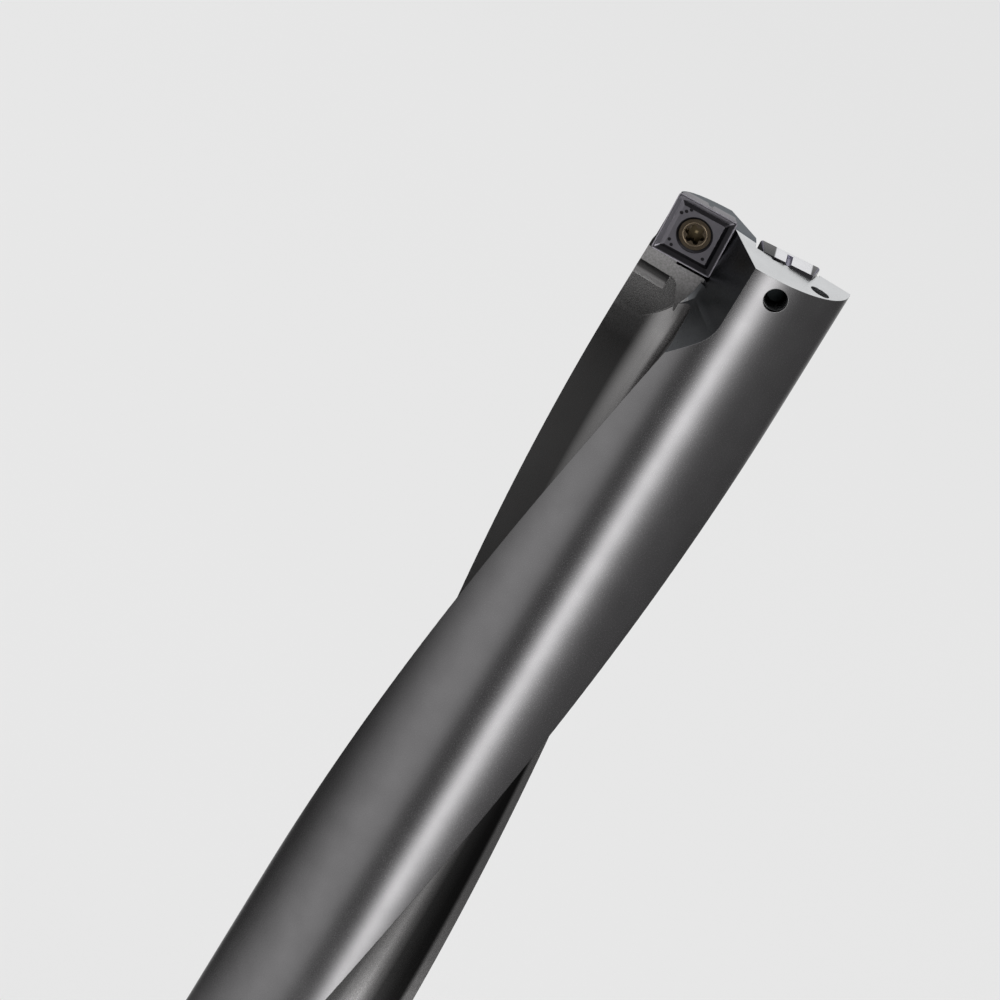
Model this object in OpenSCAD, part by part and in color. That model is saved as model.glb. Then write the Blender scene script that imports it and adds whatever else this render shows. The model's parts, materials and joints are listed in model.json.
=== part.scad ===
// Indexable drill with two square inserts and twisted flutes.
// The axis is Z, the shank's rear face lies on Z = 0 and the tip points up.

/* [Drill] */
// Diameter of the hole that the drill cuts
cut_d = 30; // [29.5:0.1:32]
// Diameter of the fluted body
body_d = 29.5; // [28:0.1:30]
// Length of the body from the flange to its end face
body_len = 168; // [165:1:220]

/* [Shank] */
// Diameter of the shank
shank_d = 32; // [25:1:40]
// Length of the shank
shank_len = 60; // [50:1:80]
// Depth of the clamping flat
flat_depth = 2; // [1:0.1:3]
// Width of the relief groove at the flange
groove_len = 3; // [2:0.5:5]
// Depth of the relief groove
groove_cut = 0.5; // [0.3:0.1:0.8]
// Diameter of the flange
flange_d = 44; // [42:1:60]
// Thickness of the flange
flange_t = 10; // [6:1:20]
// Chamfer on the edges of shank and flange
edge_c = 1; // [0.5:0.1:2]
// Fillet between flange and body
neck_r = 3; // [1:0.5:5]

/* [Flutes] */
// Length in which a flute makes one full turn
flute_lead = 525; // [400:5:800]
// Length of the flutes at full depth
flute_len = 144; // [100:1:144]
// Length in which a flute runs out to the surface
runout_len = 20; // [12:1:22]
// Straight length of the flutes behind the end face
straight_len = 17; // [14:1:24]
// Height of a lobe's leading wall over the axis plane
wall_y = 0.27; // [0:0.01:0.5]
// Opening angle of the flute of the peripheral insert
outer_open = 73.6; // [65:0.2:80]
// Fillet radius in the flute of the peripheral insert
outer_fillet = 5; // [4:0.1:6]
// Distance from the axis at which that fillet starts
outer_floor = 9.4; // [8.5:0.1:10.5]
// Opening angle of the flute of the centre insert
centre_open = 87.3; // [75:0.1:95]
// Fillet radius in the flute of the centre insert
centre_fillet = 6; // [5:0.1:7]
// Distance from the axis at which that fillet starts
centre_floor = 9; // [8.5:0.1:10.5]

/* [Tip] */
// Height of the insert lands over the axis plane
land_y = 1.3; // [1:0.05:1.6]
// Distance of a land's lower edge from the end face
land_len = 11.3; // [10.8:0.1:13]
// Radius of the hollow below a land
scallop_r = 3.5; // [2.5:0.1:5]
// Distance from a land's lower edge to the point of its tongue
tongue_len = 4.4; // [3:0.1:6]
// Straight length of the gullets behind the end face
gullet_len = 10; // [8:0.1:11]
// Radius at which a gullet's wall turns into its ramp
gullet_r = 7.5; // [6:0.1:9]
// Slope of that ramp against the axis
gullet_ramp = 36; // [30:1:45]
// Fillet at the foot of the gullets
gullet_fillet = 4.5; // [3.5:0.1:5.5]
// Lean of the gullet wall beside the peripheral insert
outer_lean = 22.2; // [18:0.1:26]
// Lean of the gullet wall beside the centre insert
centre_lean = 26; // [20:0.1:30]
// Slope of the end face behind the peripheral insert
end_slope = 6.5; // [4:0.1:9]

/* [Inserts] */
// Side of the square inserts
insert_l = 9.8; // [9.4:0.1:10.2]
// Thickness of the inserts
insert_t = 3.97; // [3.5:0.01:4.3]
// Corner radius of the inserts
insert_r = 0.4; // [0.4:0.1:1.2]
// Clearance angle of the flanks
flank_angle = 11; // [7:0.5:13]
// Width of the land along the cutting edges
edge_land = 0.3; // [0.2:0.05:0.5]
// Width of the chip groove behind that land
groove_w = 1.2; // [0.8:0.1:1.5]
// Depth of the chip groove
groove_depth = 0.35; // [0.2:0.05:0.5]
// Axial rake of both inserts
axial_rake = 5; // [3:0.5:8]
// Height of the peripheral cutting edge over the axis plane
outer_height = 2.5; // [2:0.1:2.6]
// Height of the peripheral cutting edge over the end face
outer_rise = 1; // [0.4:0.05:1.2]
// Turn of the peripheral insert in its pocket
outer_spin = 3; // [0:0.5:4]
// Height of the centre cutting edge over the end face
centre_rise = 0.8; // [0.6:0.05:1.4]
// Reach of the centre insert past the axis
centre_reach = 0.5; // [0.3:0.1:1.2]
// Turn of the centre insert about the axis
centre_turn = 5; // [0:0.5:6]
// Turn of the centre insert in its pocket
centre_spin = 4; // [0:0.5:5]
// Gap between an insert's flanks and its pocket
pocket_gap = 0.05; // [0.02:0.01:0.1]
// Gap between an insert and its seat
seat_gap = 0.02; // [0.01:0.01:0.05]

/* [Screws] */
// Diameter of the screw heads
head_d = 5.4; // [5:0.1:5.8]
// Full cone angle of the screw heads
head_cone = 56; // [45:1:60]
// Diameter of the screw threads
thread_d = 3.6; // [3:0.1:3.8]
// Length of the screws
screw_len = 7.5; // [7:0.5:9]
// Diameter of the screw hole in the inserts
hole_d = 4.1; // [4:0.1:4.4]
// Depth of the screw heads below the rake face
head_sink = 0.3; // [0.1:0.05:0.5]
// Outer radius of the six-lobe socket
socket_r = 1.6; // [1.2:0.1:1.8]
// Depth of the six-lobe socket
socket_depth = 1.5; // [1:0.1:2]
// Gap between a screw and its holes
screw_gap = 0.05; // [0.02:0.01:0.1]

/* [Coolant] */
// Diameter of the threaded inlet in the shank
inlet_d = 11.5; // [8:0.5:14]
// Depth of the inlet
inlet_len = 16; // [10:1:25]
// Diameter of the channel along the axis
channel_d = 5; // [4:0.5:6]
// Diameter of the outlet channels
outlet_d = 3.1; // [2:0.1:3.2]
// Distance from the axial channel's end to the end face
outlet_len = 80; // [70:1:90]

/* [Hidden] */
$fn = 64;

body_r = body_d / 2;
flat_len = shank_len - groove_len / 2;
flange_z = shank_len + flange_t;
end_z = flange_z + body_len;
straight_z = end_z - straight_len;
runout_z = end_z - flute_len;
land_z = end_z - land_len;
gullet_z = end_z - gullet_len;

// Reach of the cutters beyond the body
over = 6;
far_r = body_r + over;
// Steps along a fillet, a wall, the twist and the run-out
arc_steps = 12;
wall_steps = 3;
twist_steps = 56;
runout_steps = 14;

// Foot of each gullet wall, with x from the axis out along the land
outer_foot = [4.9, land_y];
centre_foot = [-0.5, 0.3];
// Height of the gullet fillets' centres over the foot
outer_trough = 2.6;
centre_trough = 6;
// Corner radius, depth under the leading wall and distance from the axis of the hollow below a land
hollow_corner = 1.8;
hollow_dip = 0.15;
hollow_x = 9.6;
tongue_x = 6.6;
// Round cut that leaves the land's inner edge
land_cut_r = 14;
land_cut_x = 19.15;
land_cut_z = end_z - 8.5;
// Start of the plain gullet wall over a land's lower edge
wall_start = 1.7;

// Centres of the rake faces
flank_tan = tan(flank_angle);
corner_span = (insert_l / 2 - insert_r) * (cos(outer_spin) + sin(outer_spin)) + insert_r;
outer_centre = [sqrt(pow(cut_d / 2, 2) - pow(outer_height, 2)) - corner_span,
    outer_height - insert_l / 2 * sin(axial_rake),
    end_z + outer_rise - insert_l / 2 * cos(axial_rake)];
centre_x = insert_l / 2 - centre_reach;
centre_drop = 0.1;
centre_centre = [centre_x,
    centre_x * tan(centre_turn) - insert_l / 2 * sin(axial_rake) - centre_drop,
    end_z + centre_rise - insert_l / 2 * cos(axial_rake)];

// Notches in the insert's flanks
notch_r = 0.5;
notch_top = 0.7;

// Screw head rim, and the depth at which the cone meets the thread
head_rim = 0.25;
cone_len = (head_d - thread_d) / 2 / tan(head_cone / 2);
thread_tip = 0.5;
head_edge = 0.1;
lobe_share = 0.27;
tap_over = 2;

// Side room and height of the centre pocket
side_room = 0.5;
pocket_height = 3;
// Flat pieces of the pockets' relief cuts
relief_w = 0.45;
relief_share = 0.55;
relief_r = 0.7;
chip_floor = 0.3;
chip_side = 0.4;
chip_run_r = 12;
chip_rise = 2.5;
// Points that the outlet channels pass: one in the end face, one in the centre gullet
outlets = [[10.6, -7, end_z], [-1.5, 7.5, end_z - 6]];
outlet_start = 0.3;
outlet_over = 0.05;
big = 60;

// Turn of a flute at height z, and how far it has left the body there
function twist_at(z) = z > straight_z ? 0 : (z - straight_z) * 360 / flute_lead;
function lift_at(z, depth) = z > runout_z ? 0 : depth * pow((runout_z - z) / runout_len, 2);

// Section of a flute: a point outside the body, the leading wall, the fillet and the far wall
function flute_section(open, fillet, floor_x) =
    let (c = [floor_x, wall_y + fillet],
        e = body_r * [cos(open), sin(open)],
        end_a = atan2(e.y - c.y, e.x - c.x) + acos(fillet / norm(e - c)),
        t = c + fillet * [cos(end_a), sin(end_a)],
        far = e + over * (e - t) / norm(e - t))
    concat([1.6 * far_r * [cos(open / 2), sin(open / 2)]],
        [for (i = [0:wall_steps - 1]) [far_r + (floor_x - far_r) * i / wall_steps, wall_y]],
        [for (i = [0:arc_steps]) let (a = 270 + (end_a - 270) * i / arc_steps)
            c + fillet * [cos(a), sin(a)]],
        [for (i = [1:wall_steps]) t + (far - t) * i / wall_steps]);

function turned(p, a, z) = [p.x * cos(a) - p.y * sin(a), p.x * sin(a) + p.y * cos(a), z];

flute_heights = concat(
    [for (i = [0:runout_steps - 1]) runout_z - runout_len * (1 - i / runout_steps)],
    [for (i = [0:twist_steps]) runout_z + (straight_z - runout_z) * i / twist_steps],
    [end_z + over]);

// Twisted flute, from its run-out to beyond the end face
module flute(open, fillet, floor_x) {
    section = flute_section(open, fillet, floor_x);
    n = len(section);
    rings = len(flute_heights);
    depth = body_r - norm([floor_x, wall_y + fillet]) + fillet + 1;
    aim = [cos(open / 2), sin(open / 2)];
    points = [for (z = flute_heights) for (p = section)
        turned(p + lift_at(z, depth) * aim, twist_at(z), z)];
    sides = [for (k = [0:rings - 2]) for (j = [0:n - 1])
        let (a = k * n + j, b = k * n + (j + 1) % n)
        for (face = [[a, b, b + n], [a, b + n, a + n]]) face];
    caps = [[for (j = [n:-1:1]) j % n], [for (j = [0:n - 1]) (rings - 1) * n + j]];
    polyhedron(points, concat(sides, caps), convexity = 6);
}

// Straight gullet beside an insert, with a ramp as its run-out and a fillet at its foot
module gullet(foot, lean, trough) {
    reach = 2 * gullet_fillet;
    arc = [for (i = [0:arc_steps]) let (a = gullet_ramp * i / arc_steps)
        [gullet_r * (1 - cos(a)), gullet_z - gullet_r * sin(a)]];
    low_z = arc[arc_steps].y - (reach - arc[arc_steps].x) / tan(gullet_ramp);
    translate(foot) rotate(lean) intersection() {
        rotate([90, 0, 0]) linear_extrude(2 * big, center = true)
            polygon(concat([[0, end_z + over]], arc, [[reach, low_z], [reach, end_z + over]]));
        translate([0, 0, low_z]) linear_extrude(end_z + over - low_z) {
            translate([gullet_fillet, trough]) circle(gullet_fillet);
            translate([0, trough]) square([reach, body_d]);
        }
    }
}

// Land that carries an insert, with a hollow below it and a tongue beside the flute
module land() {
    depth = 10;
    inner_x = tongue_x / 2;
    c = [hollow_x, land_z - hollow_corner];
    tip = [tongue_x, land_z - tongue_len];
    stop = 360 + atan2(tip.y - c.y, tip.x - c.x) - acos(hollow_corner / norm(tip - c));
    arc = [for (i = [0:arc_steps]) let (a = 90 + (stop - 90) * i / arc_steps)
        c + hollow_corner * [cos(a), sin(a)]];
    rotate([90, 0, 0]) translate([0, 0, -land_y]) linear_extrude(depth)
        polygon(concat([[inner_x, tip.y], [inner_x, end_z + over], [2 * far_r, end_z + over],
            [2 * far_r, land_z]], arc, [tip]));
    dip = wall_y - hollow_dip + scallop_r;
    lip = 0.1;
    drop = sqrt(pow(scallop_r, 2) - pow(dip - land_y, 2));
    difference() {
        translate([hollow_x, land_y - depth, land_z - drop - lip]) cube([far_r, depth, drop + 1]);
        translate([0, dip, land_z - drop - lip]) rotate([0, 90, 0]) cylinder(r = scallop_r, h = big);
    }
}

// All that is cut away in front of one lobe's leading wall
module flute_cut(open, fillet, floor_x, foot, lean, trough) {
    difference() {
        union() {
            flute(open, fillet, floor_x);
            gullet(foot, lean, trough);
            translate(foot) rotate(lean) translate([0, -over, land_z + wall_start])
                cube([2 * gullet_fillet, far_r + over, land_len + over]);
            translate([land_cut_x, 0, land_cut_z]) rotate([-90, 0, 0])
                cylinder(r = land_cut_r, h = over);
        }
        land();
    }
}

// Frame of an insert: x inward, y to the tip, z out of the rake face
module at_peripheral_insert() {
    rotate(180) translate(outer_centre) rotate([-90 - axial_rake, 0, 0]) rotate([0, 0, 180])
        rotate(outer_spin) children();
}

module at_centre_insert() {
    translate(centre_centre) rotate(centre_turn) rotate([-90 - axial_rake, 0, 0]) rotate([0, 0, 180])
        rotate(-centre_spin) children();
}

// Tapered slab with round corners, from a lower to an upper side length
module slab(side_low, side_high, r_low, r_high, z_low, z_high) {
    skin = 0.01;
    hull() for (x = [-1, 1]) for (y = [-1, 1]) {
        translate([x * (side_high / 2 - r_high), y * (side_high / 2 - r_high), z_high - skin])
            cylinder(r = r_high, h = skin, $fn = 24);
        translate([x * (side_low / 2 - r_low), y * (side_low / 2 - r_low), z_low])
            cylinder(r = r_low, h = skin, $fn = 24);
    }
}

// Square insert, rake face on z = 0
module insert() {
    low_side = insert_l - 2 * insert_t * flank_tan;
    top = insert_l - 2 * edge_land;
    island = top - 2 * groove_w;
    color([0.30, 0.28, 0.32]) difference() {
        slab(low_side, insert_l, insert_r / 2, insert_r, -insert_t, 0);
        difference() {
            slab(top - groove_w, top, insert_r / 2, insert_r, -groove_depth, 0.01);
            slab(island + groove_w, island, insert_r / 2, insert_r / 2, -groove_depth - 0.01, 0.02);
        }
        translate([0, 0, -insert_t - 1]) cylinder(d = hole_d, h = insert_t + 2);
        translate([0, 0, -head_sink - head_rim]) cylinder(d = head_d + 2 * screw_gap, h = 2);
        translate([0, 0, -head_sink - head_rim - cone_len])
            cylinder(d1 = thread_d + 2 * screw_gap, d2 = head_d + 2 * screw_gap, h = cone_len);
        for (i = [0:3]) rotate(90 * i) translate([0, insert_l / 2, 0]) rotate([-flank_angle, 0, 0])
            translate([0, notch_r / 3, -insert_t - 1]) cylinder(r = notch_r, h = insert_t + 1 - notch_top);
    }
}

// Countersunk screw with a six-lobe socket, in its insert's frame
module insert_screw() {
    head_r = head_d / 2;
    thread_r = thread_d / 2;
    cone_z = -head_sink - head_rim;
    tip_z = -head_sink - screw_len;
    lobe_r = socket_r * lobe_share;
    color([0.45, 0.36, 0.22]) difference() {
        rotate_extrude() polygon([[0, -head_sink], [head_r - head_edge, -head_sink],
            [head_r, -head_sink - head_edge], [head_r, cone_z], [thread_r, cone_z - cone_len],
            [thread_r, tip_z + thread_tip],
            [thread_r - thread_tip, tip_z], [0, tip_z]]);
        translate([0, 0, -head_sink - socket_depth]) linear_extrude(socket_depth + 1) {
            circle(socket_r - lobe_r);
            for (i = [0:5]) rotate(60 * i) translate([socket_r - lobe_r, 0]) circle(lobe_r);
        }
    }
}

// Pocket of an insert in its frame: floor, rear wall and one side wall
module pocket(wall_side, open_side, height, tap_len) {
    half = insert_l / 2 + pocket_gap;
    mirror([wall_side < 0 ? 1 : 0, 0, 0]) {
        intersection() {
            translate([0, -half, 0]) rotate([flank_angle, 0, 0]) translate([-big, 0, -big])
                cube(2 * big);
            translate([half, 0, 0]) rotate([0, flank_angle, 0]) translate([-2 * big, -big, -big])
                cube(2 * big);
            translate([-open_side - half, -big, -insert_t - seat_gap])
                cube([open_side + 2 * half, 2 * big, insert_t + seat_gap + height]);
        }
        translate([half - relief_share * insert_l, -half - relief_w, -insert_t / 2])
            cube([relief_share * insert_l, 2 * relief_w, insert_t / 2 + height]);
        translate([half - relief_r * 0.7, -half + relief_r * 0.3, -insert_t - seat_gap])
            cylinder(r = relief_r, h = insert_t + height);
    }
    translate([0, 0, -tap_len]) cylinder(d = thread_d + 2 * screw_gap, h = tap_len - insert_t + 1);
}

// Room for the chips in front of the centre insert
module chip_room() {
    half = insert_l / 2 + chip_side;
    start = -insert_l / 2 - side_room;
    translate([-half, start, -chip_floor]) cube([2 * half, big, chip_run_r]);
    intersection() {
        translate([-half, start, chip_run_r - chip_floor]) rotate([0, 90, 0])
            cylinder(r = chip_run_r, h = 2 * half);
        translate([-big, -big, -big]) cube([2 * big, 2 * big, big + chip_rise]);
    }
}

// Round channel between two points
module channel(p, q, d) {
    v = q - p;
    translate(p) rotate([0, acos(v.z / norm(v)), atan2(v.y, v.x)]) rotate(90)
        cylinder(d = d, h = norm(v));
}

module coolant_ways() {
    end_c = [0, 0, end_z - outlet_len];
    translate([0, 0, -1]) cylinder(d = inlet_d, h = inlet_len + 1);
    translate([0, 0, inlet_len]) cylinder(d1 = inlet_d, d2 = channel_d, h = inlet_d - channel_d);
    cylinder(d = channel_d, h = end_z - outlet_len + channel_d);
    for (o = outlets) {
        start = end_c + [0, sign(o.y) * channel_d * outlet_start, 0];
        channel(start, o + (o - start) * outlet_over, outlet_d);
    }
}

// Turned blank: shank, flange, neck fillet and body
module blank() {
    shank_r = shank_d / 2;
    flange_r = flange_d / 2;
    rotate_extrude($fn = 128) {
        polygon([[0, 0], [shank_r - edge_c, 0], [shank_r, edge_c], [shank_r, shank_len - groove_len],
            [shank_r - groove_cut, shank_len - groove_len], [shank_r - groove_cut, shank_len],
            [flange_r - edge_c, shank_len], [flange_r, shank_len + edge_c],
            [flange_r, flange_z - edge_c], [flange_r - edge_c, flange_z],
            [body_r, flange_z], [body_r, end_z], [0, end_z]]);
        translate([body_r, flange_z]) difference() {
            square(neck_r);
            translate([neck_r, neck_r]) circle(neck_r);
        }
    }
}

module drill_body() {
    slope_line = -10.4;
    color([0.27, 0.27, 0.28]) difference() {
        blank();
        rotate(180) flute_cut(outer_open, outer_fillet, outer_floor, outer_foot, outer_lean,
            outer_trough);
        flute_cut(centre_open, centre_fillet, centre_floor, centre_foot, centre_lean, centre_trough);
        translate([-outer_foot.x, -outer_foot.y, end_z]) rotate(slope_line) rotate([-end_slope, 0, 0])
            translate([-big, -big, 0]) cube([big + outer_foot.x + centre_foot.x, 2 * big, big]);
        at_peripheral_insert() pocket(1, big, body_r, screw_len + tap_over);
        at_centre_insert() {
            pocket(-1, side_room, pocket_height, insert_t + body_r);
            chip_room();
        }
        coolant_ways();
        translate([-shank_d, -shank_d - shank_d / 2 + flat_depth, -1])
            cube([2 * shank_d, shank_d, flat_len + 1]);
    }
}

module peripheral_insert() { at_peripheral_insert() insert(); }
module centre_insert() { at_centre_insert() insert(); }
module peripheral_insert_screw() { at_peripheral_insert() insert_screw(); }
module centre_insert_screw() { at_centre_insert() insert_screw(); }

drill_body();
peripheral_insert();
centre_insert();
peripheral_insert_screw();
centre_insert_screw();
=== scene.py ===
"""Indexable drill with two square inserts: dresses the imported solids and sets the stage."""
import json
import math

import bmesh
import bpy
from bpy.props import FloatProperty, FloatVectorProperty, PointerProperty
from mathutils import Matrix, Vector


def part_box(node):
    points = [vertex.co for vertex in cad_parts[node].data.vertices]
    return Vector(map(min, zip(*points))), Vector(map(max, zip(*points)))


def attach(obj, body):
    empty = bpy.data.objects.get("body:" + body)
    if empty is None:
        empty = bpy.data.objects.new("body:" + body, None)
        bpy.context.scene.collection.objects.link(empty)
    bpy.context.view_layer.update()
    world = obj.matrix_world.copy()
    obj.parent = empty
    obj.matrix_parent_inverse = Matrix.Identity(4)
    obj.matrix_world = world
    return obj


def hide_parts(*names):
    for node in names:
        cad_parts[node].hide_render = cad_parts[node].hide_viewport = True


bl_info = {
    "name": "Indexable Drill",
    "version": (1, 0, 0),
    "blender": (4, 5, 0),
    "location": "View3D > Sidebar > Drill",
    "description": "Finishes an indexable drill and sets it on a plain stage",
    "category": "Object",
}

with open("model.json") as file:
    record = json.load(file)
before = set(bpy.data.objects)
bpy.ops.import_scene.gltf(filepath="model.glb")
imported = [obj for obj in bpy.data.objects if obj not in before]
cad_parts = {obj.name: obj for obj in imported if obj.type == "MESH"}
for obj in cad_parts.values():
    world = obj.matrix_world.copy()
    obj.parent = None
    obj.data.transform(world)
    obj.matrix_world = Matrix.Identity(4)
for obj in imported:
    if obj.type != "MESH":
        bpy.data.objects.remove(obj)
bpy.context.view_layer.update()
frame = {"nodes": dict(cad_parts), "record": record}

MM = 0.001
BODY_LOW, BODY_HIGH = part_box("drill_body")
END_Z = BODY_HIGH.z
RECORD_MOUNTS = {m["name"]: m for m in frame["record"]["mounts"]}
SHANK_R = RECORD_MOUNTS["shank"]["dims"]["r_mm"] * MM
SHANK_TOP = RECORD_MOUNTS["flange_rear_face"]["pos_m"][2]


def below_end(depth):
    """Height that lies a depth in millimetres below the top of the body."""
    return END_Z - depth * MM


# Flutes: lead, level of the leading wall in their section, and each one's fillet centre there and turn
FLUTE_LEAD = 525 * MM
WALL_Y = 0.27 * MM
OUTER_FLUTE = ((9.4 * MM, 5.27 * MM), math.pi)
INNER_FLUTE = ((9.0 * MM, 6.27 * MM), 0.0)
# Heights along the flutes: foot of the straight part at the tip, start of the run-out, lowest milled face
STRAIGHT_Z, RUNOUT_Z, FLUTE_FOOT = below_end(17), below_end(144), BODY_LOW.z + 74 * MM
# Gullets beside the inserts: their foot, the foot of their upright walls and the top of their ramps
GULLET_FOOT, UPRIGHT_FOOT, RAMP_TOP = below_end(24), below_end(15), below_end(12.4)
# Lands next to the inserts: height over the axis plane, and the foot and the top of the hollow below them
LAND_Y = 1.3 * MM
HOLLOW_FOOT, HOLLOW_TOP = below_end(14.2), below_end(11.2)
# Radius of the coolant channels to the tip and two points on the axis of each one
CHANNEL_R = 1.55 * MM
CHANNELS = ((Vector((0, -1.5 * MM, below_end(80))), Vector((10.6 * MM, -7 * MM, END_Z))),
            (Vector((0, 1.5 * MM, below_end(80))), Vector((-1.5 * MM, 7.5 * MM, below_end(6)))))

# Inserts: tilt of the rake faces, half the side and the clearance angle of the flanks
RAKE, INSERT_HALF, FLANK = math.radians(95), 4.9 * MM, math.radians(11)
# Middle of each rake face, the outer one's before its half turn about the drill's axis, and its own turn
OUTER_MIDDLE, OUTER_TURN = (9.661 * MM, 2.073 * MM, below_end(3.881)), math.radians(183)
INNER_MIDDLE, INNER_TURN = (4.4 * MM, -0.142 * MM, below_end(4.081)), math.radians(176)
# Turn of the inner insert about an upright line through its middle
INNER_SKEW = math.radians(5)
# From an insert's middle to the side: the island, the foot of the groove's slope, the land's inner edge
ISLAND, SLOPE_FOOT, LAND_EDGE = 3.3 * MM, 4.0 * MM, 4.55 * MM
# Level from the rake face above which a face that looks down belongs to a notch
NOTCH_LOW = -1.5 * MM
# Pockets: room round an insert, and the lowest and highest level from its rake face
POCKET_ROOM, POCKET_LOW, POCKET_TOP = 0.6 * MM, -4.1 * MM, 0.05 * MM
# Screws: reach of the socket, its top and floor from the rake face, and the foot of the head's brown part
SOCKET_R, SOCKET_TOP, SOCKET_LOW, HEAD_LOW = 1.7 * MM, -0.36 * MM, -2.2 * MM, -0.7 * MM
# Turned rings round the screws: radius, and level from the rake face, in millimetres; the first, in the dark
# groove colour, is a painted shadow gap round the head, and the second's lighter bronze is a painted
# highlight round the socket
SHADOW_GAP_RING = ((2.72, -0.28), (2.72, -0.05), (2.82, 0.02), (2.72, 0.02), (2.46, -0.20), (2.42, -0.28))
SOCKET_HIGHLIGHT_RING = ((1.68, -0.32), (1.74, -0.26), (1.86, -0.25), (1.98, -0.32))

# How far a face may lie off a flat form, a round one, the body's cylinder and an insert's flank
FLAT_SLACK, ROUND_SLACK, COAT_SLACK, FLANK_SLACK = 0.02 * MM, 0.06 * MM, 0.01 * MM, 0.03 * MM
# End faces: lowest height, and the least upward part of the normal of both and of the flat, ground one
END_LOW, END_FACING, GROUND_FACING = below_end(4), 0.97, 0.9995

# Painted light and shade in a flute's section, as colour levels by the angle about the fillet, in degrees:
# leading wall, fillet, far wall
OUTER_PAINTED_LIGHT = ((-60, 0.25), (-3, 0.22), (12, 0.85), (22, 1.3), (34, 2.0), (50, 4.0), (62, 4.0), (72, 2.6),
                (84, 1.1), (150, 0.9))
INNER_PAINTED_LIGHT = ((-60, 0.5), (30, 0.8), (70, 1.3), (80, 1.9), (87, 2.7), (95, 3.3), (105, 1.3), (113, 0.36),
                (125, 0.12), (130, 0.10), (132, 1.6), (150, 1.6))
# Height up to which the flutes have these levels in full, and the stretch at the run-out where they set in
FULL_TOP = below_end(20)
SET_IN = (RUNOUT_Z - 14 * MM, RUNOUT_Z + 2 * MM)
# Painted light and shade as colour levels by height of the lands, the hollows and the gullet walls: the lands
# darken towards their lower ends, the hollows go from dark at the top to light at the foot, and the gullet
# walls grow lighter downwards
LAND_PAINTED_SHADE = ((below_end(16), 0.5), (below_end(13), 0.62), (below_end(11.3), 0.95), (below_end(9.5), 1.12),
               (below_end(2), 1.12))
HOLLOW_PAINTED_LIGHT = ((below_end(13.9), 2.6), (below_end(13.3), 1.5), (below_end(12.7), 0.35),
                 (below_end(11.3), 0.22))
WALL_PAINTED_LIGHT = ((below_end(22), 3.2), (below_end(16.7), 3.0), (below_end(13.3), 1.8), (below_end(11), 1.0),
               (below_end(5), 1.0))
# Light levels of the studio surround by azimuth in degrees: 0 is in front of the drill, at -Y, and 90 at +X
SURROUND_LEVELS = ((-180, 1.0), (-164, 0.9), (-150, 0.24), (-132, 0.135), (-108, 0.19), (-90, 0.365),
                   (-75, 0.53), (-61, 0.68), (-48, 0.79), (-35, 0.76), (-24, 0.69), (-18, 0.525), (-12, 0.20),
                   (-6, 0.12), (0, 0.09), (6, 0.125), (12, 0.55), (18, 2.0), (24, 3.7), (30, 2.9), (36, 1.8),
                   (42, 1.05), (48, 0.53), (61, 0.27), (75, 0.205), (120, 0.21), (146, 0.36), (158, 0.9),
                   (180, 1.0))
# Part of a noise texture's range that the finishes use
NOISE = (0.3, 0.7)


class DrillSizes(bpy.types.PropertyGroup):
    """Sizes that the finish works from"""

    body_d: FloatProperty(name="Body diameter", description="Diameter of the fluted body", default=29.5 * MM,
                          unit="LENGTH", precision=4)
    sharp_angle: FloatProperty(name="Sharp angle", description="Edges that bend more than this stay sharp",
                               default=math.radians(24), subtype="ANGLE", unit="ROTATION")
    edge_round: FloatProperty(name="Edge rounding", description="Radius at which edges catch the light",
                              default=0.12 * MM, unit="LENGTH", precision=5)
    mark_d: FloatProperty(name="Mark diameter", description="Diameter of the dots on the inserts",
                          default=0.62 * MM, unit="LENGTH", precision=5)
    thread_pitch: FloatProperty(name="Thread pitch", description="Pitch of the tapped hole's thread",
                                default=0.7 * MM, unit="LENGTH", precision=5)
    thread_depth: FloatProperty(name="Thread depth", description="Depth of the tapped hole's thread",
                                default=0.3 * MM, unit="LENGTH", precision=5)


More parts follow.
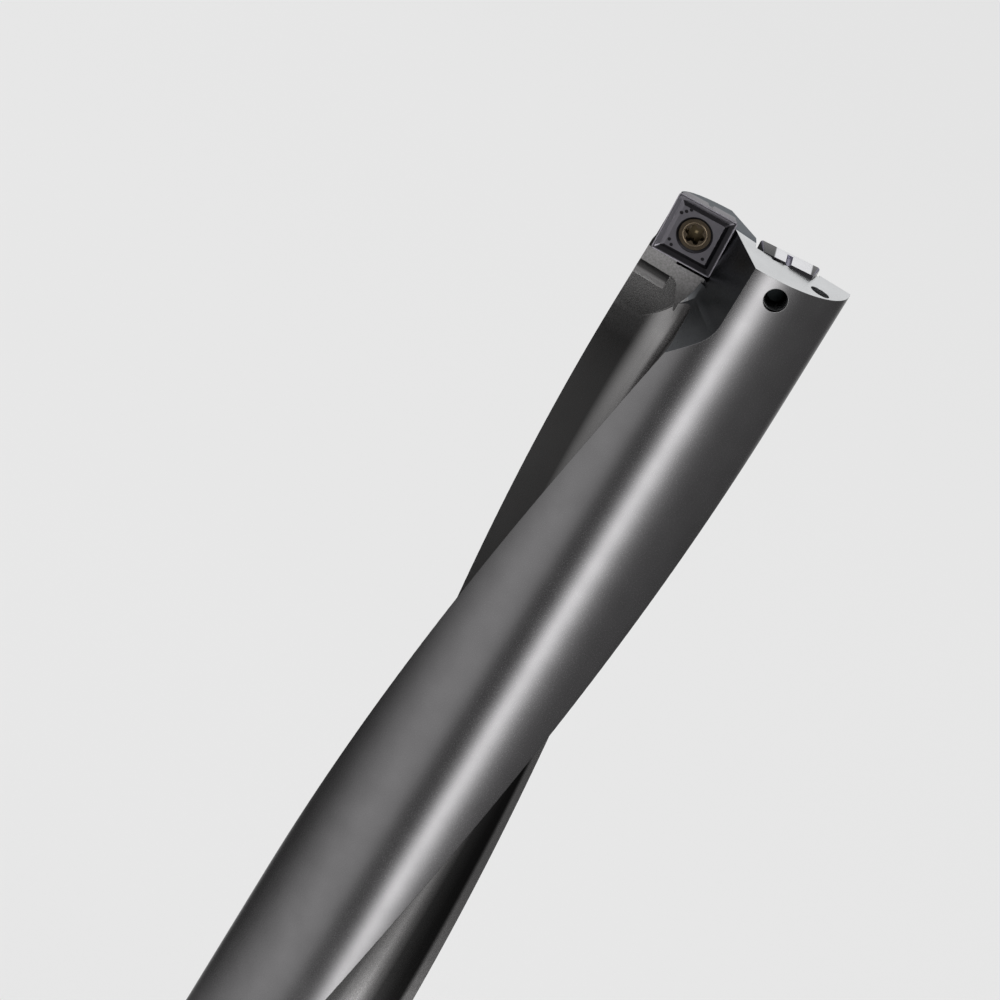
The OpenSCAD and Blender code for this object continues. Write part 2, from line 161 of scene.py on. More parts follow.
class DrillColours(bpy.types.PropertyGroup):
    """Colours of the drill's finishes and of the stage"""

    gunmetal: FloatVectorProperty(name="Gunmetal", description="Satin coat of the body", subtype="COLOR",
                                  size=3, min=0, max=1, default=(0.224, 0.220, 0.224))
    flute: FloatVectorProperty(name="Flute", description="Milled and blasted flutes", subtype="COLOR",
                               size=3, min=0, max=1, default=(0.180, 0.176, 0.176))
    # Gullet wall colour: darker than the flute colour as painted shade on the walls beside the inserts
    wall: FloatVectorProperty(name="Gullet wall", description="Smooth gullet walls beside the inserts",
                              subtype="COLOR", size=3, min=0, max=1, default=(0.118, 0.123, 0.129))
    ground: FloatVectorProperty(name="Ground steel", description="Ground end face", subtype="COLOR",
                                size=3, min=0, max=1, default=(0.60, 0.61, 0.62))
    shank: FloatVectorProperty(name="Shank steel", description="Ground shank", subtype="COLOR",
                               size=3, min=0, max=1, default=(0.40, 0.405, 0.415))
    # Tilted end faces: a darker, bluer copy of the ground end colour, as painted shade
    tilted_end_shade: FloatVectorProperty(name="Tilted end shade", description="End face behind the outer insert",
                               subtype="COLOR", size=3, min=0, max=1, default=(0.095, 0.115, 0.135))
    coating: FloatVectorProperty(name="Insert coating", description="Hard coat of the inserts",
                                 subtype="COLOR", size=3, min=0, max=1, default=(0.192, 0.184, 0.204))
    # The inner insert's flanks and notches are lighter than the coat as painted highlight, and the flanks'
    # ends are darkened again as painted shade
    facet: FloatVectorProperty(name="Insert facet", description="Flanks of the inner insert, lightened as painted highlight",
                               subtype="COLOR", size=3, min=0, max=1, default=(0.72, 0.72, 0.74))
    notch: FloatVectorProperty(name="Insert notch", description="Notches of the inner insert, lightened as painted light",
                               subtype="COLOR", size=3, min=0, max=1, default=(0.36, 0.35, 0.42))
    bronze: FloatVectorProperty(name="Screw bronze", description="Brown coat of the screws", subtype="COLOR",
                                size=3, min=0, max=1, default=(0.132, 0.104, 0.074))
    # Socket floor colour: painted shade, with a painted glint added at its middle
    gold: FloatVectorProperty(name="Screw gold", description="Socket floors, with painted shade and a painted glint",
                              subtype="COLOR", size=3, min=0, max=1, default=(0.096, 0.074, 0.044))
    # Thread colour: darkened as painted shade where the thread sits in the hole
    thread: FloatVectorProperty(name="Screw thread", description="Dark thread and point of the screws",
                                subtype="COLOR", size=3, min=0, max=1, default=(0.022, 0.026, 0.027))
    floor: FloatVectorProperty(name="Floor", description="Plain pale floor", subtype="COLOR",
                               size=3, min=0, max=1, default=(0.82, 0.82, 0.82))


def sizes():
    """Sizes that the panel shows."""
    return bpy.context.scene.drill_sizes


def colours():
    """Colours that the panel shows."""
    return bpy.context.scene.drill_colours


def scaled(colour, level):
    """Colour made lighter or darker by a level."""
    return [c * level for c in colour]


def node(tree, kind, at, **values):
    """Adds a shader node and sets its inputs by name."""
    made = tree.nodes.new(kind)
    made.location = at
    for name, value in values.items():
        made.inputs[name.replace("_", " ")].default_value = value
    return made


def math_node(tree, operation, at, first, second=0.0):
    """Adds a math node for two sockets or numbers and returns its result."""
    made = node(tree, "ShaderNodeMath", at)
    made.operation = operation
    for entry, value in zip(made.inputs, (first, second)):
        if isinstance(value, (int, float)):
            entry.default_value = value
        else:
            tree.links.new(value, entry)
    return made.outputs["Value"]


def span(tree, at, value, low, high, first=0.0, last=1.0):
    """Adds a map range node that turns low to high into first to last, and returns its result."""
    made = node(tree, "ShaderNodeMapRange", at, From_Min=low, From_Max=high, To_Min=first, To_Max=last)
    tree.links.new(value, made.inputs["Value"])
    return made.outputs["Result"]


def split(tree, at, vector):
    """Adds a node that splits a vector and returns its outputs."""
    made = node(tree, "ShaderNodeSeparateXYZ", at)
    tree.links.new(vector, made.inputs["Vector"])
    return made.outputs


def bumped(tree, at, height, normal, strength, distance):
    """Adds a bump node over a normal and returns the new normal."""
    made = node(tree, "ShaderNodeBump", at, Strength=strength, Distance=distance)
    tree.links.new(height, made.inputs["Height"])
    tree.links.new(normal, made.inputs["Normal"])
    return made.outputs["Normal"]


def set_stops(ramp, stops):
    """Gives a colour ramp grey stops, scaled to the highest level, and returns that level."""
    peak = max(level for _, level in stops)
    elements = ramp.color_ramp.elements
    for position, _ in stops[1:-1]:
        elements.new(position)
    for element, (position, level) in zip(elements, stops):
        element.position = position
        element.color = (*[level / peak] * 3, 1)
    return peak


def ramp_level(tree, at, value, stops, unit=1.0):
    """Adds a ramp over a value and returns its level; each stop is a place in the given unit and a level."""
    low, high = stops[0][0], stops[-1][0]
    share = span(tree, at, value, low * unit, high * unit)
    ramp = node(tree, "ShaderNodeValToRGB", (at[0] + 150, at[1]))
    peak = set_stops(ramp, [((place - low) / (high - low), level) for place, level in stops])
    tree.links.new(share, ramp.inputs["Fac"])
    return math_node(tree, "MULTIPLY", (at[0] + 450, at[1]), ramp.outputs["Color"], peak)


def flute_painted_light(flute, stops, near):
    """Painted light and shade along a flute's section: colour level from the leading wall over the fillet to
    the far wall.

    near is the level next to the inserts, a painted lightening there."""
    centre, turn = flute

    def add(tree, where):
        height = split(tree, (-1300, 900), where)["Z"]
        depth = math_node(tree, "SUBTRACT", (-1150, 900), height, STRAIGHT_Z)
        twist = math_node(tree, "MINIMUM", (-1000, 900), depth, 0.0)
        angle = math_node(tree, "MULTIPLY", (-850, 900), twist, -math.tau / FLUTE_LEAD)
        angle = math_node(tree, "ADD", (-700, 900), angle, turn)
        section = node(tree, "ShaderNodeVectorRotate", (-550, 900))
        section.rotation_type = "Z_AXIS"
        tree.links.new(where, section.inputs["Vector"])
        tree.links.new(angle, section.inputs["Angle"])
        local = split(tree, (-400, 900), section.outputs["Vector"])
        inward = math_node(tree, "SUBTRACT", (-250, 950), centre[0], local["X"])
        down = math_node(tree, "SUBTRACT", (-250, 800), centre[1], local["Y"])
        swing = math_node(tree, "ARCTAN2", (-100, 900), inward, down)
        level = ramp_level(tree, (50, 900), swing, stops, math.radians(1))
        run_out = span(tree, (500, 700), height, *SET_IN)
        fade = span(tree, (500, 500), height, UPRIGHT_FOOT, FULL_TOP)
        base = span(tree, (500, 300), height, GULLET_FOOT, UPRIGHT_FOOT, 1.0, near)
        change = math_node(tree, "SUBTRACT", (650, 900), level, 1.0)
        change = math_node(tree, "MULTIPLY", (800, 900), change, fade)
        change = math_node(tree, "MULTIPLY", (950, 900), change, run_out)
        return math_node(tree, "ADD", (1100, 900), change, base)

    return add


def height_painted_light(stops):
    """Painted light and shade: a colour level that changes with the height on the drill."""

    def add(tree, where):
        return ramp_level(tree, (-700, 900), split(tree, (-900, 900), where)["Z"], stops)

    return add


def seat_offset(tree, where, seat, column, row):
    """Signed distance from an insert's centre along one of its axes."""
    axis = seat.to_3x3().col[column]
    along = node(tree, "ShaderNodeVectorMath", (-900, row))
    along.operation = "DOT_PRODUCT"
    along.inputs[1].default_value = axis
    tree.links.new(where, along.inputs[0])
    return math_node(tree, "SUBTRACT", (-700, row), along.outputs["Value"], axis.dot(seat.translation))


def facet_painted_shade(seat, middle, half):
    """Painted shade: a colour level that falls off towards both ends of an insert's flanks."""
    blur, dim = 0.1 * MM, 0.035

    def add(tree, where):
        offset = math_node(tree, "SUBTRACT", (-550, 900), seat_offset(tree, where, seat, 0, 900), middle)
        away = math_node(tree, "ABSOLUTE", (-400, 900), offset)
        return span(tree, (-250, 900), away, half - blur, half + blur, 1.0, dim)

    return add


def square_painted_light(seat, start, end, first, last):
    """Painted light: a colour level that changes with the distance from an insert's middle to its four sides.
    """

    def add(tree, where):
        away = [math_node(tree, "ABSOLUTE", (-550, row), seat_offset(tree, where, seat, column, row))
                for column, row in ((0, 900), (1, 1100))]
        reach = math_node(tree, "MAXIMUM", (-400, 1000), *away)
        return span(tree, (-250, 1000), reach, start, end, first, last)

    return add


def metal(name, colour, rough, grain=9000, bump=0.05, lines=0, line_bump=0.0, edge_tint=0.5, spread=0.05,
          speck=0.0, rounding=1.0, shade=None):
    """Metal with a grain of its own: colour, roughness and bump vary with noise, and lines run round Z.

    grain and lines are the scales of their textures, and shade may add nodes for a further colour level,
    which paints light and shade onto the colour."""
    mat = bpy.data.materials.new(name)
    mat.use_nodes = True
    mat.diffuse_color = (*colour, 1)
    tree = mat.node_tree
    shader = tree.nodes["Principled BSDF"]
    shader.inputs["Metallic"].default_value = 1.0
    shader.inputs["Specular Tint"].default_value = (edge_tint, edge_tint, edge_tint, 1)
    where = node(tree, "ShaderNodeTexCoord", (-1400, 0)).outputs["Object"]
    fine = node(tree, "ShaderNodeTexNoise", (-1000, 200), Scale=grain, Detail=4.0, Roughness=0.6)
    cloud = node(tree, "ShaderNodeTexNoise", (-1000, -100), Scale=grain / 40, Detail=3.0, Roughness=0.5)
    for noise in (fine, cloud):
        tree.links.new(where, noise.inputs["Vector"])

    tint = node(tree, "ShaderNodeValToRGB", (-700, 250))
    for element, position, change in zip(tint.color_ramp.elements, NOISE, (-spread, spread)):
        element.position = position
        element.color = (*scaled(colour, 1 + change), 1)
    tree.links.new(cloud.outputs["Fac"], tint.inputs["Fac"])
    level = span(tree, (-700, 500), fine.outputs["Fac"], *NOISE, 1 - speck, 1 + speck)
    if shade:
        level = math_node(tree, "MULTIPLY", (-550, 500), level, shade(tree, where))
    grained = node(tree, "ShaderNodeVectorMath", (-400, 300))
    grained.operation = "SCALE"
    tree.links.new(tint.outputs["Color"], grained.inputs[0])
    tree.links.new(level, grained.inputs["Scale"])
    tree.links.new(grained.outputs["Vector"], shader.inputs["Base Color"])
    gloss = span(tree, (-700, -50), fine.outputs["Fac"], *NOISE, rough * 0.85, rough * 1.15)
    tree.links.new(gloss, shader.inputs["Roughness"])

    rounded = node(tree, "ShaderNodeBevel", (-700, -500), Radius=sizes().edge_round * rounding)
    rounded.samples = 6
    normal = bumped(tree, (-400, -300), fine.outputs["Fac"], rounded.outputs["Normal"], bump, 0.05 * MM)
    if lines:
        wave = node(tree, "ShaderNodeTexWave", (-1000, -350), Scale=lines, Distortion=0.6, Detail=2.0)
        wave.bands_direction = "Z"
        tree.links.new(where, wave.inputs["Vector"])
        normal = bumped(tree, (-200, -300), wave.outputs["Fac"], normal, line_bump, 0.02 * MM)
    tree.links.new(normal, shader.inputs["Normal"])
    return mat


def smooth_gentle_bends(shape):
    """Marks all faces smooth, and sharp the edges that bend more than the sharp angle."""
    for face in shape.faces:
        face.smooth = True
    for edge in shape.edges:
        edge.smooth = len(edge.link_faces) == 2 and edge.calc_face_angle(math.pi) < sizes().sharp_angle


def add_object(name, shape, mesh):
    """Writes a bmesh to a mesh and adds that to the scene as an object."""
    shape.to_mesh(mesh)
    shape.free()
    made = bpy.data.objects.new(name, mesh)
    bpy.context.scene.collection.objects.link(made)
    return made


def merged_copy(cad_node, name):
    """Copy of a CAD node with its triangles joined, flat runs kept flat and gentle bends smooth."""
    mesh = frame["nodes"][cad_node].data.copy()
    mesh.name = name
    mesh.materials.clear()
    shape = bmesh.new()
    shape.from_mesh(mesh)
    weld = 0.0002 * MM
    bmesh.ops.remove_doubles(shape, verts=shape.verts, dist=weld)
    bmesh.ops.dissolve_degenerate(shape, edges=shape.edges, dist=weld)
    smooth_gentle_bends(shape)
    piece = add_object(name, shape, mesh)
    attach(piece, "root")
    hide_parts(cad_node)
    return piece


def finish_piece(shape, name, mat, place):
    """Turns a bmesh into a piece that rides the drill."""
    bmesh.ops.transform(shape, matrix=place, verts=shape.verts)
    bmesh.ops.recalc_face_normals(shape, faces=shape.faces)
    smooth_gentle_bends(shape)
    piece = add_object(name, shape, bpy.data.meshes.new(name))
    piece.data.materials.append(mat)
    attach(piece, "root")


def set_finishes(piece, choose, finishes):
    """Gives each face the finish that choose names for it."""
    for mat in finishes.values():
        piece.data.materials.append(mat)
    places = {name: index for index, name in enumerate(finishes)}
    for face in piece.data.polygons:
        face.material_index = places[choose(face)]


def round_normals(piece, radii):
    """Sets true radial normals on the faces that lie on a cylinder about the axis."""
    mesh = piece.data
    normals = [Vector(c.vector) for c in mesh.corner_normals]
    slack = 0.004 * MM
    upright = 0.02
    for face in mesh.polygons:
        points = [mesh.vertices[v].co for v in face.vertices]
        reach = [p.xy.length for p in points]
        for r in radii:
            if all(abs(q - r) < slack for q in reach) and abs(face.normal.z) < upright:
                for corner, p in zip(face.loop_indices, points):
                    normals[corner] = Vector((p.x, p.y, 0)).normalized()
    mesh.normals_split_custom_set([n[:] for n in normals])


def outer_seat():
    """Frame of the outer insert: origin in its rake face, x to the axis, y to the tip, z out of the face."""
    return (Matrix.Rotation(math.pi, 4, "Z") @ Matrix.Translation(OUTER_MIDDLE)
            @ Matrix.Rotation(-RAKE, 4, "X") @ Matrix.Rotation(OUTER_TURN, 4, "Z"))


def inner_seat():
    """Frame of the inner insert, laid out as the outer one's."""
    return (Matrix.Translation(INNER_MIDDLE) @ Matrix.Rotation(INNER_SKEW, 4, "Z")
            @ Matrix.Rotation(-RAKE, 4, "X") @ Matrix.Rotation(INNER_TURN, 4, "Z"))


def loop(shape, points):
    """Closed chain of edges through the points, ready to be spun."""
    verts = [shape.verts.new(p) for p in points]
    edges = [shape.edges.new((a, b)) for a, b in zip(verts, verts[1:] + verts[:1])]
    return verts + edges


def spin_once(shape, profile, steps):
    """Spins a profile one full turn round Z."""
    bmesh.ops.spin(shape, geom=profile, axis=(0, 0, 1), cent=(0, 0, 0), angle=math.tau, steps=steps,
                   use_merge=True)


def turned_ring(name, profile, mat, seat):
    """Ring turned from a profile about the axis of an insert's screw."""
    shape = bmesh.new()
    spin_once(shape, loop(shape, [(r * MM, 0, z * MM) for r, z in profile]), 64)
    finish_piece(shape, name, mat, seat)


def in_section(point, turn):
    """Point in the section of a flute, with the twist of the flute taken out."""
    twist = min(point.z - STRAIGHT_Z, 0) * math.tau / FLUTE_LEAD
    return Matrix.Rotation(turn - twist, 3, "Z") @ point


def lies_on_land(corners):
    """Whether all corners of a face lie on the flat lands next to the inserts."""
    return all(abs(abs(p.y) - LAND_Y) < FLAT_SLACK for p in corners)


def lies_in_hollow(face):
    """Whether a face belongs to the round hollow below a land."""
    middle = face.center
    overhang = -0.05
    return HOLLOW_FOOT < middle.z < HOLLOW_TOP and face.normal.z < overhang and abs(middle.y) < LAND_Y


def lies_in_pocket(corners, back):
    """Whether all corners of a face lie round the insert whose frame back leads to, under its rake face."""
    for at in (back @ p for p in corners):
        if max(abs(at.x), abs(at.y)) > INSERT_HALF + POCKET_ROOM or not POCKET_LOW < at.z < POCKET_TOP:
            return False
    return True


def lies_in_channel(corners, start, end):
    """Whether all corners of a face lie on the coolant channel whose axis runs through two points."""
    along = (end - start).normalized()
    return all(abs((p - start).cross(along).length - CHANNEL_R) < ROUND_SLACK for p in corners)


def lies_on_flute(corners, flute):
    """Whether all corners of a face lie on the leading wall or the fillet of a flute."""
    (x, y), turn = flute
    for at in (in_section(p, turn) for p in corners):
        off_fillet = abs(math.hypot(at.x - x, at.y - y) - y + WALL_Y)
        if min(abs(at.y - WALL_Y), off_fillet) > ROUND_SLACK:
            return False
    return True


def lies_in_gullet(face, corners, flute):
    """Whether a face belongs to the straight cut or the ramp beside an insert."""
    z, facing = face.center.z, face.normal.z
    if z < GULLET_FOOT or lies_on_flute(corners, flute):
        return False
    if max(in_section(p, flute[1]).y for p in corners) < LAND_Y + FLAT_SLACK:
        return False
    upright = abs(facing) < 0.005 and z > UPRIGHT_FOOT
    ramp = facing > 0.2
    return upright or ramp or z > RAMP_TOP


class DRILL_OT_body(bpy.types.Operator):
    """Finish the body: satin coat, milled flutes, ground end face and shank"""

    bl_idname = "drill.body"
    bl_label = "Body"

    def execute(self, context):
        piece = merged_copy("drill_body", "body")
        mesh = piece.data
        body_r = sizes().body_d / 2
        seats = [seat.inverted() for seat in (outer_seat(), inner_seat())]
        round_normals(piece, (body_r, SHANK_R))

        def choose(face):
            middle = face.center
            if middle.z < SHANK_TOP - 0.1 * MM:
                return "shank"
            if face.normal.z > END_FACING and middle.z > END_LOW:
                # Flat end faces take the ground colour, tilted ones its darker copy as painted shade
                return "end" if face.normal.z > GROUND_FACING else "outer end"
            corners = [mesh.vertices[v].co for v in face.vertices]
            if lies_on_land(corners):
                return "land"
            if lies_in_hollow(face):
                return "hollow"
            if any(lies_in_pocket(corners, back) for back in seats):
                return "pocket"
            if any(lies_in_channel(corners, *ends) for ends in CHANNELS):
                return "channel"
            if middle.z < FLUTE_FOOT or min(p.xy.length for p in corners) > body_r - COAT_SLACK:
                return "coat"
            # A point 2 mm in front of the face tells which flute it faces
            outer = in_section(middle + face.normal * 2 * MM, math.pi).y > 0
            if lies_in_gullet(face, corners, OUTER_FLUTE if outer else INNER_FLUTE):
                return "wall"
            return "outer flute" if outer else "inner flute"

        set_finishes(piece, choose, self.finishes())
        self.thread()
        return {"FINISHED"}

    def finishes(self):
        """Finishes of the body by the names that its faces choose from."""
        ground, flute = colours().ground, colours().flute
        return {
            "coat": metal("satin gunmetal", colours().gunmetal, 0.25, bump=0.01, lines=1500, line_bump=0.014,
                          edge_tint=0.35),
            "outer flute": self.milled("outer flute", OUTER_FLUTE, OUTER_PAINTED_LIGHT, near=1.6),
            "end": metal("ground steel", ground, 0.30, grain=7000, bump=0.03, lines=2600, line_bump=0.03,
                         edge_tint=0.9),
            "outer end": metal("tilted end shade", colours().tilted_end_shade, 0.34, grain=7000, bump=0.04),
            "land": metal("blasted land", scaled(flute, 1.5), 0.55, grain=3000, bump=0.30, speck=0.32,
                          shade=height_painted_light(LAND_PAINTED_SHADE)),
            "inner flute": self.milled("inner flute", INNER_FLUTE, INNER_PAINTED_LIGHT, near=1.2),
            "shank": metal("ground shank", colours().shank, 0.21, grain=7000, bump=0.02, lines=2600,
                           line_bump=0.06, edge_tint=0.8, spread=0.02),
            "hollow": metal("hollow", flute, 0.30, grain=6000, bump=0.06, speck=0.06,
                            shade=height_painted_light(HOLLOW_PAINTED_LIGHT)),
            "wall": metal("gullet wall", colours().wall, 0.30, bump=0.03, shade=height_painted_light(WALL_PAINTED_LIGHT)),
            # Pockets under the inserts are darkened as painted shade
            "pocket": metal("pocket painted shade", scaled(flute, 0.2), 0.45, grain=6000, bump=0.06),
            "channel": metal("bored channel", ground, 0.30, grain=6000, bump=0.04, lines=2600,
                             line_bump=0.05),
        }

    def milled(self, name, flute, levels, near):
        """Milled finish of one flute, with painted light and shade along its section."""
        return metal(name, colours().flute, 0.27, grain=4200, bump=0.09, speck=0.07,
                     shade=flute_painted_light(flute, levels, near))

    def thread(self):
        """Winding of the thread in the free end of the tapped hole behind the inner insert."""
        # The thread's steel is darkened to a quarter as painted shade inside the hole
        mat = metal("tapped thread", scaled(colours().ground, 0.25), 0.25, bump=0.04)
        shape = bmesh.new()
        wall, pitch, steps = 1.87 * MM, sizes().thread_pitch, 32
        low, high = -12.3 * MM, -8.0 * MM
        crest, foot = wall - sizes().thread_depth, pitch * 0.8
        profile = loop(shape, ((wall, 0, low), (crest, 0, low + foot / 2), (wall, 0, low + foot)))
        turns = (high - low) / pitch
        done = bmesh.ops.spin(shape, geom=profile, axis=(0, 0, 1), cent=(0, 0, 0), angle=turns * math.tau,
                              steps=round(turns * steps), dvec=(0, 0, pitch / steps))
        shape.faces.new(profile[:3])
        shape.faces.new([g for g in done["geom_last"] if isinstance(g, bmesh.types.BMVert)])
        finish_piece(shape, "hole_thread", mat, inner_seat())


class DRILL_OT_inserts(bpy.types.Operator):
    """Finish both inserts with their hard coat"""

    bl_idname = "drill.inserts"
    bl_label = "Inserts"

    def execute(self, context):
        coating = colours().coating
        coat = metal("insert coating", coating, 0.34, bump=0.06, edge_tint=0.7, speck=0.04, rounding=0.4)
        # The dark groove colour is painted shade in the groove and round the screws, and the real colour of
        # the index dots; the lighter slope colour is painted light
        dark = metal("groove shade and marks", scaled(coating, 0.16), 0.34, bump=0.06, rounding=0.4)
        slope = metal("slope painted light", scaled(coating, 1.6), 0.32, rounding=0.3)
        # Light flanks and notches of the inner insert: painted highlight, with painted shade towards the
        # flanks' ends
        facet = metal("facet painted highlight", colours().facet, 0.24, bump=0.03, edge_tint=0.9, rounding=0.3,
                      shade=facet_painted_shade(inner_seat(), middle=-0.7 * MM, half=3.0 * MM))
        ground = metal("notch painted light", colours().notch, 0.40, bump=0.03)
        inserts = (("peripheral_insert", "outer_insert", outer_seat(), coat, coat),
                   ("centre_insert", "inner_insert", inner_seat(), facet, ground))
        for cad_node, name, seat, flank, notch in inserts:
            # The land is darkened as painted shade, with a painted highlight along its outer edge
            land = metal(name + " land", scaled(coating, 0.6), 0.30, bump=0.04, rounding=0.1,
                         shade=square_painted_light(seat, start=4.68 * MM, end=4.78 * MM, first=1.0, last=5.5))
            finishes = {"coat": coat, "groove": dark, "land": land, "slope": slope, "flank": flank,
                        "notch": notch}
            self.insert(cad_node, name, seat, finishes)
        for seat, name in ((outer_seat(), "outer"), (inner_seat(), "inner")):
            # A dark ring in each countersink stands in for the shadow gap round the screw head: painted
            # shadow
            turned_ring(name + "_shadow_gap_ring", SHADOW_GAP_RING, dark, seat)
            self.dots(name, seat, dark)
        return {"FINISHED"}

    def insert(self, cad_node, name, seat, finishes):
        """Finishes one insert: island, chip groove, honed land and flanks, with painted light and shade on
        the groove and the land.
        """
        piece = merged_copy(cad_node, name)
        back = seat.inverted()
        turn = back.to_3x3()
        steep, level = 0.5, 0.99

        def choose(face):
            at = back @ face.center
            facing = (turn @ face.normal).z
            out = max(abs(at.x), abs(at.y))
            if abs(facing) < steep:
                off_flank = out - INSERT_HALF - at.z * math.tan(FLANK)
                return "flank" if abs(off_flank) < FLANK_SLACK else "notch"
            if facing < -steep:
                return "notch" if at.z > NOTCH_LOW else "groove"
            if facing > level:
                return "land" if out > LAND_EDGE else "coat"
            if out < ISLAND:
                return "coat"
            # Outer slopes on the top and left sides take the lighter colour as painted light; the left side's
            # inner slope keeps the coat, and the rest of the groove takes the dark colour as painted shade
            if out > SLOPE_FOOT and max(at.y, -at.x) > out - 0.01 * MM:
                return "slope"
            return "coat" if at.x < -abs(at.y) else "groove"

        set_finishes(piece, choose, finishes)

    def dots(self, name, seat, mat):
        """Index dots beside three of the four corners."""
        reach, gap, r, height = 2.72 * MM, 0.62 * MM, sizes().mark_d / 2, 0.07 * MM
        places = [Vector((reach, -reach, 0))]
        places += [Vector((-reach, -reach, 0)) + Vector((gap, -gap, 0)) * side for side in (-0.5, 0.5)]
        places += [Vector((-reach, reach, 0)) + Vector((gap, gap, 0)) * side for side in (-0.9, 0, 0.9)]
        shape = bmesh.new()
        for at in places:
            bmesh.ops.create_cone(shape, cap_ends=True, segments=24, radius1=r, radius2=r * 0.75,
                                  depth=height, matrix=Matrix.Translation(at))
        finish_piece(shape, name + "_index_dots", mat, seat)


class DRILL_OT_screws(bpy.types.Operator):
    """Finish both insert screws with their brown coat"""

    bl_idname = "drill.screws"
    bl_label = "Screws"

    def execute(self, context):
        brown = colours().bronze
        bronze = metal("screw bronze", brown, 0.30, edge_tint=0.7, spread=0.15)
        # The socket walls are darkened as painted shade
        socket = metal("socket shade bronze", scaled(brown, 0.5), 0.38)
        # Lighter bronze for the raised ring round each socket: painted highlight
        highlight_ring = metal("collar bronze", scaled(brown, 2.2), 0.24, edge_tint=0.7)
        # The thread and point are darkened as painted shade in the hole
        thread = metal("screw thread", colours().thread, 0.45, edge_tint=0.4)
        for cad_node, name, seat in (("peripheral_insert_screw", "outer_screw", outer_seat()),
                                     ("centre_insert_screw", "inner_screw", inner_seat())):
            # Socket floor: painted shade, with a painted glint in its middle
            gold = metal(name + " socket floor", colours().gold, 0.40, bump=0.08, edge_tint=0.7,
                         shade=square_painted_light(seat, start=0.05 * MM, end=0.28 * MM, first=6.0, last=1.0))
            finishes = {"head": bronze, "socket": socket, "thread": thread, "floor": gold}
            self.screw(cad_node, name, seat, finishes)
            turned_ring(name + "_collar", SOCKET_HIGHLIGHT_RING, highlight_ring, seat)
        return {"FINISHED"}

    def screw(self, cad_node, name, seat, finishes):
        """Finishes one screw: head, socket with its floor, and thread; socket, floor and thread are darkened
        as painted shade, and the floor has a painted glint in its middle.
        """
        piece = merged_copy(cad_node, name)
        back = seat.inverted()
        turn = back.to_3x3()

        def choose(face):
            at = back @ face.center
            if at.xy.length < SOCKET_R and SOCKET_TOP > at.z > SOCKET_LOW:
                return "floor" if (turn @ face.normal).z > 0.9 else "socket"
            return "thread" if at.z < HEAD_LOW else "head"

        set_finishes(piece, choose, finishes)


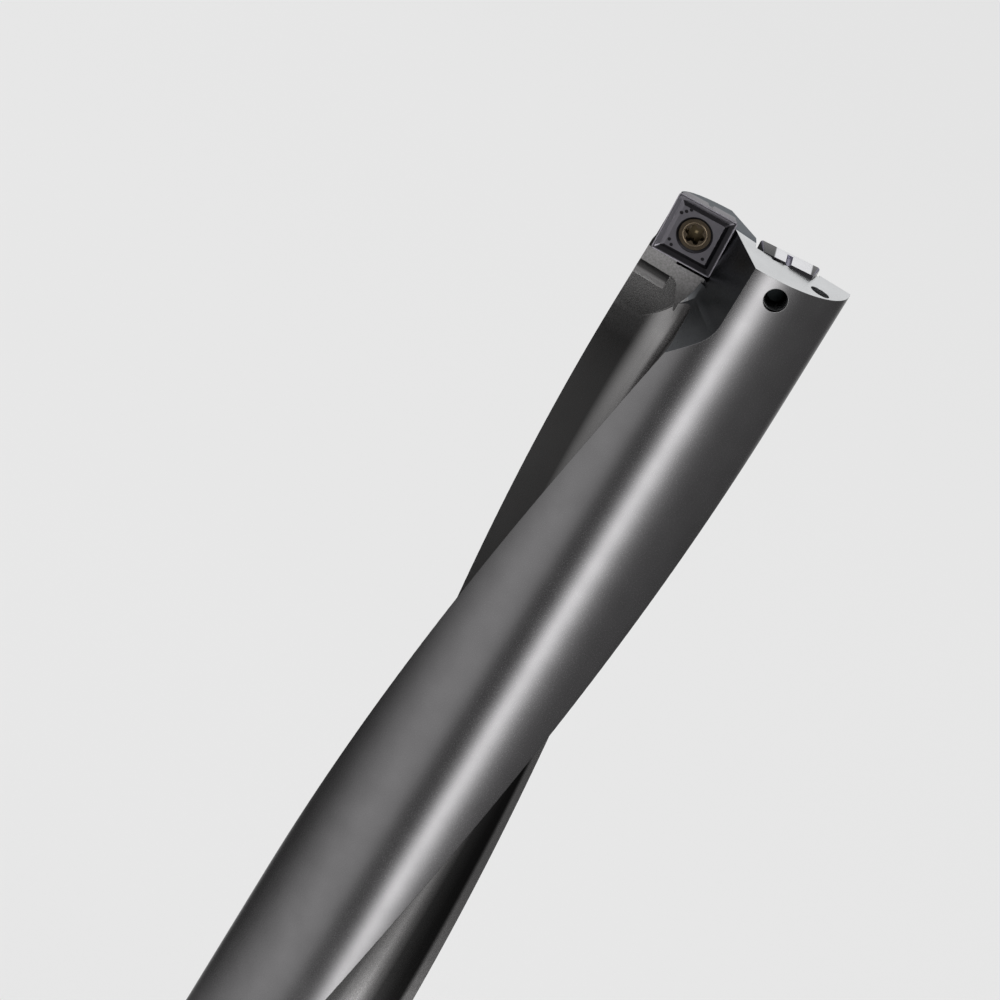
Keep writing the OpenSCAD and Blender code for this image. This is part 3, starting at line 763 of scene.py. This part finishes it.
class DRILL_OT_stage(bpy.types.Operator):
    """Add the floor, the light and the camera"""

    bl_idname = "drill.stage"
    bl_label = "Stage"

    def execute(self, context):
        scene = context.scene
        scene.view_settings.view_transform = "Standard"
        self.floor()
        self.light(scene)
        self.surround(distance=0.27, height=0.6)
        self.camera(scene)
        return {"FINISHED"}

    def floor(self):
        """Wide pale floor with a faint cloud in its colour."""
        shape = bmesh.new()
        bmesh.ops.create_grid(shape, x_segments=4, y_segments=4, size=6.0)
        floor = add_object("floor", shape, bpy.data.meshes.new("floor"))
        mat = bpy.data.materials.new("pale floor")
        mat.use_nodes = True
        tree = mat.node_tree
        shader = tree.nodes["Principled BSDF"]
        shader.inputs["Roughness"].default_value = 0.9
        shader.inputs["Specular IOR Level"].default_value = 0.0
        where = node(tree, "ShaderNodeTexCoord", (-900, 0))
        cloud = node(tree, "ShaderNodeTexNoise", (-700, 0), Scale=2.0, Detail=2.0)
        tint = node(tree, "ShaderNodeValToRGB", (-450, 0))
        for element, level in zip(tint.color_ramp.elements, (0.985, 1.015)):
            element.color = (*scaled(colours().floor, level), 1)
        tree.links.new(where.outputs["Object"], cloud.inputs["Vector"])
        tree.links.new(cloud.outputs["Fac"], tint.inputs["Fac"])
        tree.links.new(tint.outputs["Color"], shader.inputs["Base Color"])
        floor.data.materials.append(mat)

    def light(self, scene):
        """Even white sky and a large soft lamp overhead."""
        world = bpy.data.worlds.new("studio")
        scene.world = world
        world.use_nodes = True
        sky = world.node_tree.nodes["Background"]
        sky.inputs["Color"].default_value = (1, 1, 1, 1)
        sky.inputs["Strength"].default_value = 0.86
        lamp = bpy.data.lights.new("overhead softbox", "AREA")
        lamp.shape = "RECTANGLE"
        lamp.size, lamp.size_y = 1.6, 1.6
        lamp.energy = 6.0
        box = bpy.data.objects.new("overhead softbox", lamp)
        place, aim = Vector((-0.6, 0.2, 1.9)), Vector((0, 0.2, 0.1))
        box.location = place
        box.rotation_euler = (aim - place).to_track_quat("-Z", "Y").to_euler()
        box.visible_camera = False
        scene.collection.objects.link(box)

    def surround(self, distance, height):
        """Upright ring round the drill, seen only in reflections, with a light level for each azimuth."""
        name = "studio surround"
        shape = bmesh.new()
        first = [shape.verts.new((0, -distance, z)) for z in (0.0, height)]
        edge = shape.edges.new(first)
        spin_once(shape, [edge] + first, 72)
        ring = add_object(name, shape, bpy.data.meshes.new(name))
        mat = bpy.data.materials.new(name)
        mat.use_nodes = True
        tree = mat.node_tree
        tree.nodes.clear()
        where = node(tree, "ShaderNodeTexCoord", (-900, 0))
        turn = node(tree, "ShaderNodeMapping", (-700, 0), Rotation=(0, 0, math.radians(90)))
        angle = node(tree, "ShaderNodeTexGradient", (-500, 0))
        angle.gradient_type = "RADIAL"
        ramp = node(tree, "ShaderNodeValToRGB", (-300, 0))
        peak = set_stops(ramp, [(azimuth / 360 + 0.5, level) for azimuth, level in SURROUND_LEVELS])
        glow = node(tree, "ShaderNodeEmission", (0, 0), Strength=peak)
        out = node(tree, "ShaderNodeOutputMaterial", (200, 0))
        tree.links.new(where.outputs["Object"], turn.inputs["Vector"])
        tree.links.new(turn.outputs["Vector"], angle.inputs["Vector"])
        tree.links.new(angle.outputs["Fac"], ramp.inputs["Fac"])
        tree.links.new(ramp.outputs["Color"], glow.inputs["Color"])
        tree.links.new(glow.outputs["Emission"], out.inputs["Surface"])
        ring.data.materials.append(mat)
        ring.visible_camera = False
        ring.visible_diffuse = False
        ring.visible_shadow = False
        ring.visible_transmission = False

    def camera(self, scene):
        """Long lens that looks down on the tip a little and is rolled to the left."""
        tilt, roll = math.radians(16), math.radians(31.5)
        back = Vector((0, -math.cos(tilt), math.sin(tilt)))
        level = Vector((1, 0, 0))
        rise = Vector((0, math.sin(tilt), math.cos(tilt)))
        right = math.cos(roll) * level + math.sin(roll) * rise
        up = math.cos(roll) * rise - math.sin(roll) * level
        shift_right, shift_up = 0.39, 0.15
        aim = Vector((-14.0 * MM, 0, below_end(55.4))) + right * shift_right * MM + up * shift_up * MM
        view_width = 149.7 * MM
        data = bpy.data.cameras.new("camera")
        data.sensor_width = 36
        data.lens = 500
        data.clip_end = 50
        distance = view_width * data.lens / data.sensor_width
        place = Matrix((right, up, back)).transposed().to_4x4()
        place.translation = aim + back * distance
        camera = bpy.data.objects.new("camera", data)
        camera.matrix_world = place
        scene.collection.objects.link(camera)
        scene.camera = camera


class DRILL_PT_panel(bpy.types.Panel):
    """Lists the drill's pieces, sizes and colours"""

    bl_idname = "DRILL_PT_panel"
    bl_label = "Indexable Drill"
    bl_space_type = "VIEW_3D"
    bl_region_type = "UI"
    bl_category = "Drill"

    def draw(self, context):
        for operator in OPERATORS:
            self.layout.operator(operator.bl_idname)
        for group in (context.scene.drill_sizes, context.scene.drill_colours):
            box = self.layout.box()
            for name in group.__annotations__:
                box.prop(group, name)


OPERATORS = (DRILL_OT_body, DRILL_OT_inserts, DRILL_OT_screws, DRILL_OT_stage)
CLASSES = (DrillSizes, DrillColours) + OPERATORS + (DRILL_PT_panel,)


def register():
    """Adds the classes and the drill's values to Blender."""
    for cls in CLASSES:
        bpy.utils.register_class(cls)
    bpy.types.Scene.drill_sizes = PointerProperty(type=DrillSizes)
    bpy.types.Scene.drill_colours = PointerProperty(type=DrillColours)


def unregister():
    """Takes the drill's values and the classes out again."""
    del bpy.types.Scene.drill_colours
    del bpy.types.Scene.drill_sizes
    for cls in reversed(CLASSES):
        bpy.utils.unregister_class(cls)


def main():
    """Builds the drill's looks and the stage."""
    register()
    bpy.ops.drill.body()
    bpy.ops.drill.inserts()
    bpy.ops.drill.screws()
    bpy.ops.drill.stage()


if __name__ == "__main__":
    main()
